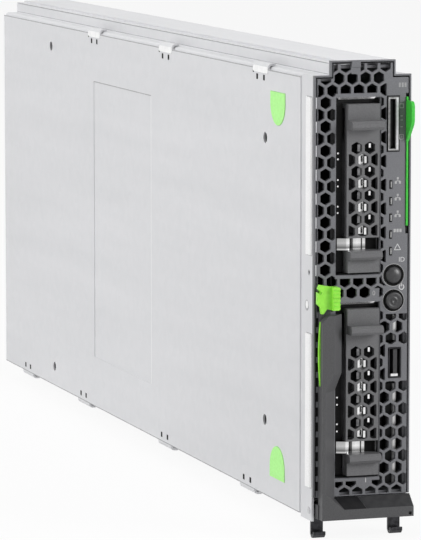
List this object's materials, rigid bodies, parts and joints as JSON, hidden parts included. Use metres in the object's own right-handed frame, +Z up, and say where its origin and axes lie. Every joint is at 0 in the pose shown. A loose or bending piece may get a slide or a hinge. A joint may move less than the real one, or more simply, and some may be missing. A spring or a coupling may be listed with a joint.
{
  "type": "blade server",
  "caption": "Slim upright plug-in server in a sheet-metal case with a honeycomb front, ejector lever, pull-out drive carriers, card, buttons and a sliding side cover.",
  "frame": {"origin": "on the floor under the middle of the overall box", "axes": "+X to the right seen from the front, +Y from the honeycomb front to the rear connectors, +Z up"},
  "size_m": [0.0466, 0.5228, 0.211],
  "materials": {
    "galvanised": "satin galvanised sheet",
    "bezel_plastic": "fine textured",
    "carrier_plastic": "satin",
    "lever_plastic": "satin",
    "lime_plastic": "glossy",
    "pad_lime": "matte print",
    "card_green": "satin",
    "gasket_cloth": "woven conductive cloth",
    "dark_steel": "dark satin",
    "bright_steel": "bright",
    "pin_steel": "ground",
    "button_plastic": "glossy",
    "light_pipe": "clear grey",
    "board_green": "solder mask",
    "black_insulator": "moulded",
    "pale_insulator": "moulded",
    "socket_shell": "tinned",
    "drive_metal": "cast",
    "sink_metal": "extruded",
    "black_metal": "satin black",
    "drive_dark": "satin dark",
    "board_black": "solder mask",
    "grey_insulator": "moulded",
    "choke_grey": "pressed powder",
    "cell_steel": "plated"
  },
  "bodies": {
    "chassis": {"chassis_pan": "galvanised", "top_rail": "galvanised", "front_frame": "galvanised", "gasket_left": "gasket_cloth", "gasket_right": "gasket_cloth", "front_bezel": "bezel_plastic", "hinge_bracket": "galvanised", "lever_pin": "pin_steel", "id_card_guide": "black_insulator", "button_switches": "black_insulator", "status_lights": "light_pipe", "front_panel_board": "board_black", "console_shell": "socket_shell", "console_insert": "black_insulator", "usb_shell": "dark_steel", "usb_tongue": "grey_insulator", "drive_cage": "black_metal", "front_baffle": "galvanised", "drive_guides": "black_insulator", "drive_backplane": "board_green", "drive_connectors": "black_insulator", "system_board": "board_green", "board_standoffs": "pin_steel", "board_screws": "pin_steel", "processor_sockets": "pale_insulator", "processors": "sink_metal", "heatsink_front": "sink_metal", "heatsink_rear": "sink_metal", "memory_sockets": "black_insulator", "memory_modules": "board_green", "power_chokes": "choke_grey", "chip_heatsink": "sink_metal", "coin_cell_holder": "black_insulator", "coin_cell": "cell_steel", "mezzanine_upper": "board_green", "mezzanine_lower": "board_green", "mezzanine_connectors": "pale_insulator", "rear_frame": "galvanised", "signal_connectors": "black_insulator", "power_connector": "black_insulator", "guide_sockets": "drive_metal"},
    "cover": {"side_cover": "galvanised", "touch_pads": "pad_lime"},
    "lever": {"ejector_lever": "lever_plastic", "lever_claws": "dark_steel", "latch_leaf": "lime_plastic"},
    "latch": {"lever_latch": "lime_plastic"},
    "card": {"id_card": "card_green"},
    "power_key": {"power_button": "button_plastic"},
    "id_key": {"id_button": "button_plastic"},
    "upper_tray": {"upper_carrier": "carrier_plastic", "upper_shield": "bright_steel", "upper_drive": "drive_dark", "upper_latch_spring": "bright_steel"},
    "upper_pinch": {"upper_carrier_latch": "carrier_plastic"},
    "lower_tray": {"lower_carrier": "carrier_plastic", "lower_shield": "bright_steel", "lower_drive": "drive_dark", "lower_latch_spring": "bright_steel"},
    "lower_pinch": {"lower_carrier_latch": "carrier_plastic"}
  },
  "joints": [
    {"name": "cover_slide", "type": "slide", "parent": "chassis", "child": "cover", "axis": [0, 1, 0], "range_m": [0, 0.012]},
    {"name": "lever_hinge", "type": "hinge", "parent": "chassis", "child": "lever", "pos_m": [0, -0.24965, 0.0125], "axis": [1, 0, 0], "range_deg": [0, 65]},
    {"name": "latch_hinge", "type": "hinge", "parent": "lever", "child": "latch", "pos_m": [-0.0178, -0.25665, 0.1056], "axis": [0, 1, 0], "range_deg": [0, 10], "stiffness_Nm_per_rad": 0.4, "springref_deg": -2.86},
    {"name": "card_slide", "type": "slide", "parent": "chassis", "child": "card", "axis": [0, -1, 0], "range_m": [0, 0.055]},
    {"name": "power_press", "type": "slide", "parent": "chassis", "child": "power_key", "axis": [0, 1, 0], "range_m": [0, 0.0012], "stiffness_N_per_m": 1200, "springref_m": -0.0005},
    {"name": "id_press", "type": "slide", "parent": "chassis", "child": "id_key", "axis": [0, 1, 0], "range_m": [0, 0.0012], "stiffness_N_per_m": 1200, "springref_m": -0.0005},
    {"name": "upper_tray_slide", "type": "slide", "parent": "chassis", "child": "upper_tray", "axis": [0, -1, 0], "range_m": [0, 0.1]},
    {"name": "upper_pinch_slide", "type": "slide", "parent": "upper_tray", "child": "upper_pinch", "axis": [0, 0, 1], "range_m": [0, 0.0035], "stiffness_N_per_m": 900, "springref_m": -0.001, "deforming": ["upper_latch_spring"]},
    {"name": "lower_tray_slide", "type": "slide", "parent": "chassis", "child": "lower_tray", "axis": [0, -1, 0], "range_m": [0, 0.1]},
    {"name": "lower_pinch_slide", "type": "slide", "parent": "lower_tray", "child": "lower_pinch", "axis": [0, 0, 1], "range_m": [0, 0.0035], "stiffness_N_per_m": 900, "springref_m": -0.001, "deforming": ["lower_latch_spring"]}
  ]
}
